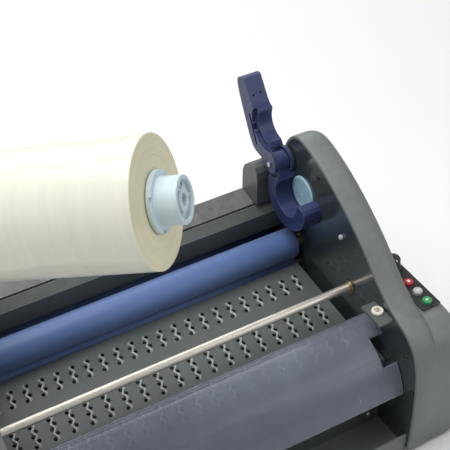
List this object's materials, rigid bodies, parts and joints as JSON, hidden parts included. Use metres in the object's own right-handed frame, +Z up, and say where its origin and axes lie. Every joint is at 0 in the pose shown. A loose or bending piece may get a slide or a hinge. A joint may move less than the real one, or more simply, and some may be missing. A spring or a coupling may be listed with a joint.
{
  "type": "roll laminator",
  "caption": "Desktop film laminator with two rubber nip rollers, a vented feed deck, a smoked shield and swing-over latch arms for a capped film roll.",
  "frame": {"origin": "on the tabletop midway between the side panels, under the axes of the two laminating rollers", "axes": "+X to the operator's right along the rollers, front (feed side) -Y, +Z up"},
  "size_m": [0.5423, 0.3159, 0.4252],
  "materials": {
    "rim": "satin",
    "dark_panel": "polished",
    "deck": "satin",
    "pan": "matt",
    "navy": "satin",
    "pale_blue": "satin",
    "roller_rubber": "matt",
    "steel": "ground",
    "chrome": "polished",
    "brass": "turned",
    "black": "matt",
    "foot_rubber": "matt",
    "cream": "matt",
    "film": "satin wound edge",
    "card": "wound paperboard",
    "cap": "moulded",
    "smoke": "smoked clear plastic",
    "white": "moulded",
    "nylon": "moulded",
    "board": "laminate",
    "motor": "satin",
    "green": "satin",
    "grey": "satin",
    "red": "satin"
  },
  "bodies": {
    "frame": {"base_pan": "pan", "bearing_block_left": "brass", "bearing_block_right": "brass", "bumper_left": "cream", "bumper_right": "cream", "control_board": "board", "control_panel": "black", "cradle_left": "navy", "cradle_right": "navy", "feed_deck": "deck", "foot_front_left": "foot_rubber", "foot_front_right": "foot_rubber", "foot_rear_left": "foot_rubber", "foot_rear_right": "foot_rubber", "front_apron": "deck", "gear_motor": "motor", "hinge_pin_left": "steel", "hinge_pin_right": "steel", "hub_disc_left": "pale_blue", "hub_disc_right": "pale_blue", "inner_panel_left": "dark_panel", "inner_panel_right": "dark_panel", "nip_guard": "rim", "panel_peg_left": "white", "panel_peg_right": "white", "power_inlet": "black", "power_supply": "motor", "rear_cover": "rim", "rear_panel": "rim", "rod_bush_left": "brass", "rod_bush_right": "brass", "shelf_pad_left": "deck", "shelf_pad_right": "deck", "side_cover_left": "rim", "side_cover_right": "rim"},
    "lower_roll": {"lower_roller": "roller_rubber", "lower_roller_shaft": "steel", "lower_roller_gear": "steel"},
    "upper_roll": {"upper_roller": "roller_rubber", "upper_roller_shaft": "steel", "upper_roller_gear": "steel"},
    "lower_pull": {"lower_pull_roller": "roller_rubber", "lower_pull_gear": "nylon"},
    "upper_pull": {"upper_pull_roller": "roller_rubber", "upper_pull_gear": "nylon"},
    "idler_gear": {"idler_gear": "nylon"},
    "motor_pinion": {"motor_pinion": "brass"},
    "idler_rod": {"idler_rod": "chrome"},
    "safety_shield": {"safety_shield": "smoke"},
    "latch_arm_right": {"latch_arm_right": "navy"},
    "latch_arm_left": {"latch_arm_left": "navy"},
    "run_button": {"run_button": "green"},
    "reverse_button": {"reverse_button": "grey"},
    "stop_button": {"stop_button": "red"},
    "speed_knob": {"speed_knob": "black"},
    "power_rocker": {"power_rocker": "black"},
    "roll_caps": {"roll_cap_right": "cap", "roll_cap_left": "cap"},
    "film_roll": {"film_winding": "film", "film_core": "card"}
  },
  "joints": [
    {"name": "lower_roller_spin", "type": "hinge", "parent": "frame", "child": "lower_roll", "pos_m": [0, 0, 0.086], "axis": [1, 0, 0], "continuous": true},
    {"name": "upper_roller_spin", "type": "hinge", "parent": "frame", "child": "upper_roll", "pos_m": [0, 0, 0.116], "axis": [1, 0, 0], "continuous": true},
    {"name": "lower_pull_spin", "type": "hinge", "parent": "frame", "child": "lower_pull", "pos_m": [0, 0.04791, 0.089], "axis": [1, 0, 0], "continuous": true},
    {"name": "upper_pull_spin", "type": "hinge", "parent": "frame", "child": "upper_pull", "pos_m": [0, 0.04791, 0.113], "axis": [1, 0, 0], "continuous": true},
    {"name": "idler_gear_spin", "type": "hinge", "parent": "frame", "child": "idler_gear", "pos_m": [0, 0.02545, 0.08759], "axis": [1, 0, 0], "continuous": true},
    {"name": "motor_pinion_spin", "type": "hinge", "parent": "frame", "child": "motor_pinion", "pos_m": [0, -0.0077, 0.06486], "axis": [1, 0, 0], "continuous": true},
    {"name": "idler_rod_spin", "type": "hinge", "parent": "frame", "child": "idler_rod", "pos_m": [0, -0.091, 0.1265], "axis": [1, 0, 0], "continuous": true},
    {"name": "shield_swing", "type": "hinge", "parent": "frame", "child": "safety_shield", "pos_m": [0, -0.122, 0.112], "axis": [-1, 0, 0], "range_deg": [0, 110]},
    {"name": "latch_arm_right_swing", "type": "hinge", "parent": "frame", "child": "latch_arm_right", "pos_m": [0.167, 0.02, 0.205], "axis": [1, 0, 0], "range_deg": [0, 142]},
    {"name": "latch_arm_left_swing", "type": "hinge", "parent": "frame", "child": "latch_arm_left", "pos_m": [-0.167, 0.02, 0.205], "axis": [1, 0, 0], "range_deg": [0, 142]},
    {"name": "run_button_press", "type": "slide", "parent": "frame", "child": "run_button", "axis": [0, 0, -1], "range_m": [0, 0.0015], "stiffness_N_per_m": 400},
    {"name": "reverse_button_press", "type": "slide", "parent": "frame", "child": "reverse_button", "axis": [0, 0, -1], "range_m": [0, 0.0015], "stiffness_N_per_m": 400},
    {"name": "stop_button_press", "type": "slide", "parent": "frame", "child": "stop_button", "axis": [0, 0, -1], "range_m": [0, 0.0015], "stiffness_N_per_m": 400},
    {"name": "speed_knob_turn", "type": "hinge", "parent": "frame", "child": "speed_knob", "pos_m": [0.22, -0.099, 0.14], "axis": [0, 0, -1], "range_deg": [0, 270]},
    {"name": "power_rocker_tilt", "type": "hinge", "parent": "frame", "child": "power_rocker", "pos_m": [-0.0995, 0.1015, 0.033], "axis": [1, 0, 0], "range_deg": [0, 16]},
    {"name": "film_roll_load", "type": "hinge", "parent": "frame", "child": "roll_caps", "pos_m": [-0.15246, 0.14512, 0.2666], "axis": [0.1855, 0.3029, 0.9348], "range_deg": [0, 45.96]},
    {"name": "film_roll_spin", "type": "hinge", "parent": "roll_caps", "child": "film_roll", "pos_m": [-0.1634, -0.0698, 0.3384], "axis": [0.7056, -0.6549, 0.2706], "continuous": true}
  ],
  "couplings": [
    {"joint": "upper_roller_spin", "follows": "lower_roller_spin", "ratio": -1},
    {"joint": "idler_gear_spin", "follows": "lower_roller_spin", "ratio": -1.4286},
    {"joint": "lower_pull_spin", "follows": "lower_roller_spin", "ratio": 1.25},
    {"joint": "upper_pull_spin", "follows": "lower_roller_spin", "ratio": -1.25},
    {"joint": "motor_pinion_spin", "follows": "lower_roller_spin", "ratio": -2}
  ]
}
